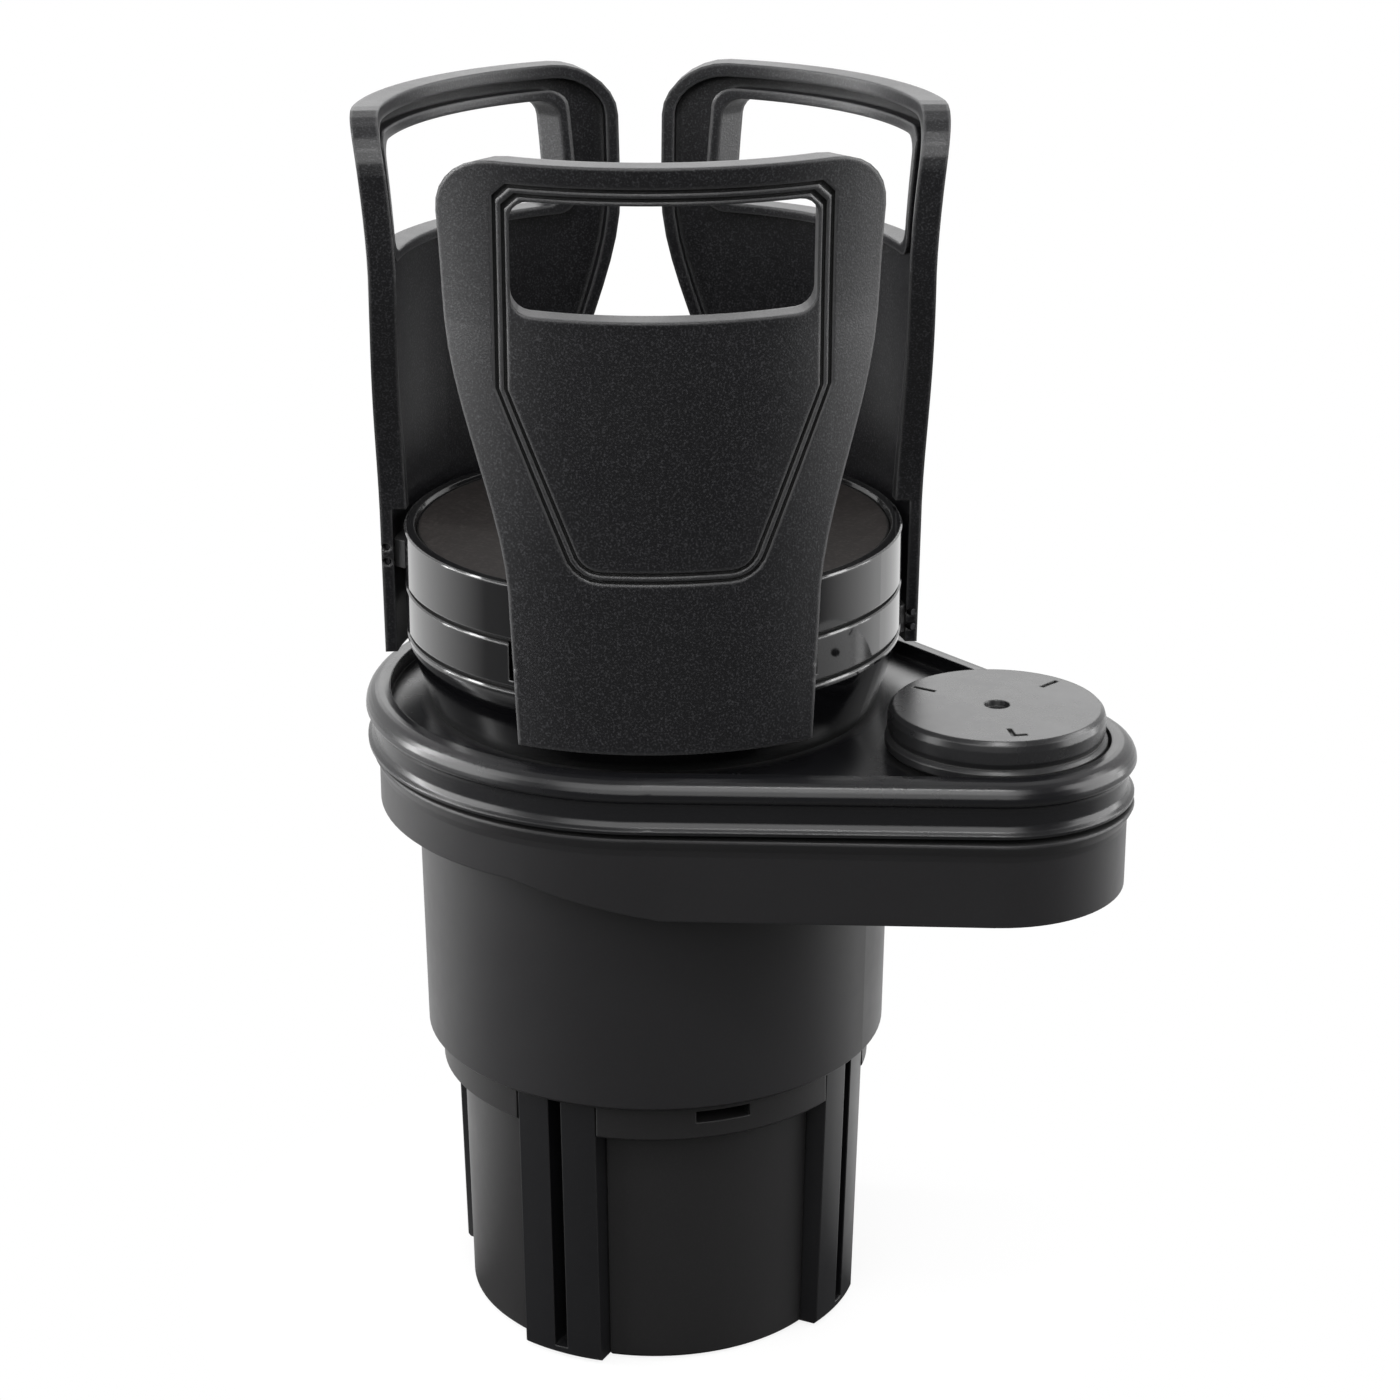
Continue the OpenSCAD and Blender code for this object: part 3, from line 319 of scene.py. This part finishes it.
def plastic(
    name,
    base,
    glint_speck,
    edge,
    rough,
    edge_mm=EDGE_RADIUS_MM,
    grain_mm=GRAIN_MM,
    depth_mm=0.002,
    sparkle=GLINT_BRIGHTNESS,
    coat=0.0,
):
    """Moulded skin: grain with painted glints, uneven gloss, painted highlights on edges, painted shade and
    dull gloss in grooves.
    """
    material, tree, shader = new_material(name)
    edges = use_group(tree, EDGES, Radius=edge_mm * MM)
    grain = use_group(tree, GRAIN, Size=grain_mm * MM, Specks=sparkle)
    gloss = use_group(tree, GLOSS, Low=rough[0], High=rough[1])
    # painted glints on the grain's tops
    with_glints = blend(tree, grain["Speck"], base, glint_speck)
    # painted highlight along the edges
    edged = blend(tree, math_node(tree, "MULTIPLY", edges["Edge_Highlight"], EDGE_HIGHLIGHT_SHARE), with_glints, edge)
    feed_all(
        tree,
        shader,
        # painted shade in the grooves, over the skin's colour
        Base_Color=blend(tree, edges["Open"], GROOVE_PAINTED_SHADE, edged),
        Roughness=blend(tree, edges["Open"], GROOVE_ROUGHNESS, gloss["Roughness"], data_type="FLOAT"),
        Normal=bump(tree, grain["Height"], GRAIN_STRENGTH, depth_mm * MM, edges["Normal"]),
    )
    if coat:
        clear = math_node(tree, "MULTIPLY", edges["Open"], coat)
        feed_all(tree, shader, Coat_Weight=clear, Coat_Roughness=COAT_ROUGHNESS)
    return material


# Metal

METAL_EDGE_MM = 0.15  # radius of a turned edge
SMEARED_SHARE = 0.8  # brightness of the metal where a smear lies on it
MACHINING_MARKS = (2600.0, 1.0, 0.4)  # scale, detail and roughness
MACHINING_STRENGTH = 0.3
MACHINING_DEPTH = 0.004 * MM

METALS = {
    # Screws, washers and axles
    "steel": {"base": (0.6, 0.6, 0.62), "rough": (0.22, 0.34)},
    # Dowels between the petals and their slide plates
    "black_steel": {"base": (0.03, 0.03, 0.032), "rough": (0.4, 0.5)},
    # Insert for the knob's bolt
    "brass": {"base": (0.72, 0.52, 0.24), "rough": (0.2, 0.32)},
}


def metal(name, base, rough):
    """Turned or plated metal with fine machining marks."""
    material, tree, shader = new_material(name)
    edges = use_group(tree, EDGES, Radius=METAL_EDGE_MM * MM)
    gloss = use_group(tree, GLOSS, Low=rough[0], High=rough[1])
    smeared = [SMEARED_SHARE * level for level in base]
    marks = noise(tree, *MACHINING_MARKS)
    feed_all(
        tree,
        shader,
        Metallic=1.0,
        Base_Color=blend(tree, gloss["Cloud"], smeared, base),
        Roughness=gloss["Roughness"],
        Normal=bump(tree, marks, MACHINING_STRENGTH, MACHINING_DEPTH, edges["Normal"]),
    )
    return material


# Skins on the object

SKINS = {name: plastic(name, **look) for name, look in PLASTICS.items()}
SKINS.update({name: metal(name, **look) for name, look in METALS.items()})


def dress_cad():
    """Gives each node the skin that its slot names, but for the upper tray, which has its own."""
    skin_of = {part["node"]: part["material_slot"] for part in frame["record"]["subparts"]}
    skin_of["upper_tray"] = "tray_plastic"
    for name, thing in frame["nodes"].items():
        for slot in thing.material_slots:
            slot.material = SKINS[skin_of[name]]


dress_cad()

# Floor and backdrop

FLOOR_HALF = 6.0  # half the floor's side
FLOOR_DROP = 0.2 * MM  # how far the floor lies below the foot
FLOOR_PAINT = 0.9  # how pale the floor is where it takes the shadow
FLOOR_BOUNCE = 0.11  # how pale the floor is to everything that doesn't see the white background
FLOOR_ROUGHNESS = 0.9
SHADOW_START = 30 * MM  # within this distance of the middle the shadow is at its strongest
SHADOW_REACH = 85 * MM  # past this distance there is no shadow
SHADOW_SHARE = 0.18  # how strong the shadow is at the foot
ROOM_LEVEL = 0.08  # brightness of the room round the camera
BACKDROP_LEVEL = 0.9  # brightness of the backdrop
BACKDROP_EDGE = (-0.2, 0.85)  # where it begins and is full, as a cosine from straight behind


def behind_mask(tree, direction):
    """1 toward the backdrop behind the object, 0 toward the dim room round the camera."""
    straight_behind = Vector((LOOK_ALONG.x, LOOK_ALONG.y, 0)).normalized()
    toward = vector_math(tree, "DOT_PRODUCT", vector_math(tree, "NORMALIZE", direction), straight_behind)
    return remap(tree, toward, *BACKDROP_EDGE)


def white_mask(tree, behind):
    """1 for a ray that sees the white background: from the camera, through glass, or mirrored from behind."""
    path = add_node(tree, "LightPath").outputs
    seen = math_node(tree, "MAXIMUM", path["Is Camera Ray"], path["Is Transmission Ray"])
    return math_node(tree, "MAXIMUM", seen, math_node(tree, "MULTIPLY", path["Is Glossy Ray"], behind))


def join_shaders(tree, mask, first, second, output):
    """Goes from the first shader to the second as the mask goes from 0 to 1, into the tree's output."""
    mix = add_node(tree, "MixShader")
    for source, socket in zip((mask, first.outputs[0], second.outputs[0]), mix.inputs):
        feed(tree, source, socket)
    feed(tree, mix.outputs[0], tree.nodes[output].inputs["Surface"])


def pale_paint():
    """Paint of the floor, with a faint shadow near the object and plain white further off."""
    material, tree, shader = new_material("pale_floor")
    where = add_node(tree, "TexCoord").outputs["Object"]
    seen = white_mask(tree, behind_mask(tree, where))
    feed_all(
        tree,
        shader,
        Base_Color=blend(tree, seen, grey(FLOOR_BOUNCE), grey(FLOOR_PAINT)),
        Roughness=FLOOR_ROUGHNESS,
        Specular_IOR_Level=0.0,
    )
    white = add_node(tree, "Emission")
    feed(tree, grey(1.0), white.inputs["Color"])
    away = vector_math(tree, "LENGTH", where)
    plain = remap(tree, away, SHADOW_START, SHADOW_REACH, 1 - SHADOW_SHARE)
    join_shaders(tree, math_node(tree, "MULTIPLY", plain, seen), shader, white, "Material Output")
    return material


def add_floor():
    mesh = bpy.data.meshes.new("floor")
    shape = bmesh.new()
    bmesh.ops.create_grid(shape, x_segments=1, y_segments=1, size=FLOOR_HALF)
    shape.to_mesh(mesh)
    shape.free()
    mesh.materials.append(pale_paint())
    floor = bpy.data.objects.new("floor", mesh)
    floor.location = (0, 0, -FLOOR_DROP)
    bpy.context.scene.collection.objects.link(floor)


def light_world():
    """White to the camera; to the rest a studio: a white backdrop behind, dim round the camera."""
    world = bpy.data.worlds.new("studio")
    bpy.context.scene.world = world
    world.use_nodes = True
    tree = world.node_tree
    behind = behind_mask(tree, add_node(tree, "TexCoord").outputs["Generated"])
    room = add_node(tree, "Background")
    feed_all(tree, room, Color=grey(1.0), Strength=remap(tree, behind, 0.0, 1.0, ROOM_LEVEL, BACKDROP_LEVEL))
    white = add_node(tree, "Background")
    feed_all(tree, white, Color=grey(1.0))
    join_shaders(tree, white_mask(tree, behind), room, white, "World Output")


add_floor()
light_world()

# Lamps

AIM = Vector((0, 0, 0.11))  # middle of the object, which every lamp looks at

# Azimuth and elevation in degrees, distance, width and height in metres, and watts;
# azimuth 0 is the camera's side, positive to its right
LAMPS = {
    "left_box": (-84, 14, 0.9, 0.75, 1.0, 11),
    "right_box": (84, 14, 0.9, 0.6, 1.0, 8),
    "left_strip": (-104, 14, 0.8, 0.08, 0.9, 3.5),
    "right_strip": (108, 14, 0.8, 0.1, 0.9, 2),
    "top_box": (8, 62, 0.9, 0.18, 0.12, 2),
    "back_glare": (180, 24, 1.2, 1.1, 0.45, 2.2),
    "front_fill": (-10, 40, 1.6, 1.5, 1.2, 16),
}


def softbox(name, azimuth, elevation, distance, width, height, watts):
    """An area lamp that looks at the object."""
    to_camera = CAMERA_AT - AIM
    angle = math.atan2(to_camera.y, to_camera.x) + math.radians(azimuth)
    tilt = math.radians(elevation)
    direction = Vector((math.cos(angle) * math.cos(tilt), math.sin(angle) * math.cos(tilt), math.sin(tilt)))
    lamp = bpy.data.lights.new(name, "AREA")
    lamp.shape = "RECTANGLE"
    lamp.size = width
    lamp.size_y = height
    lamp.energy = watts
    lit = bpy.data.objects.new(name, lamp)
    lit.location = AIM + direction * distance
    lit.rotation_euler = (-direction).to_track_quat("-Z", "Y").to_euler()
    bpy.context.scene.collection.objects.link(lit)


for name, setting in LAMPS.items():
    softbox(name, *setting)

bpy.context.scene.view_settings.view_transform = "Standard"
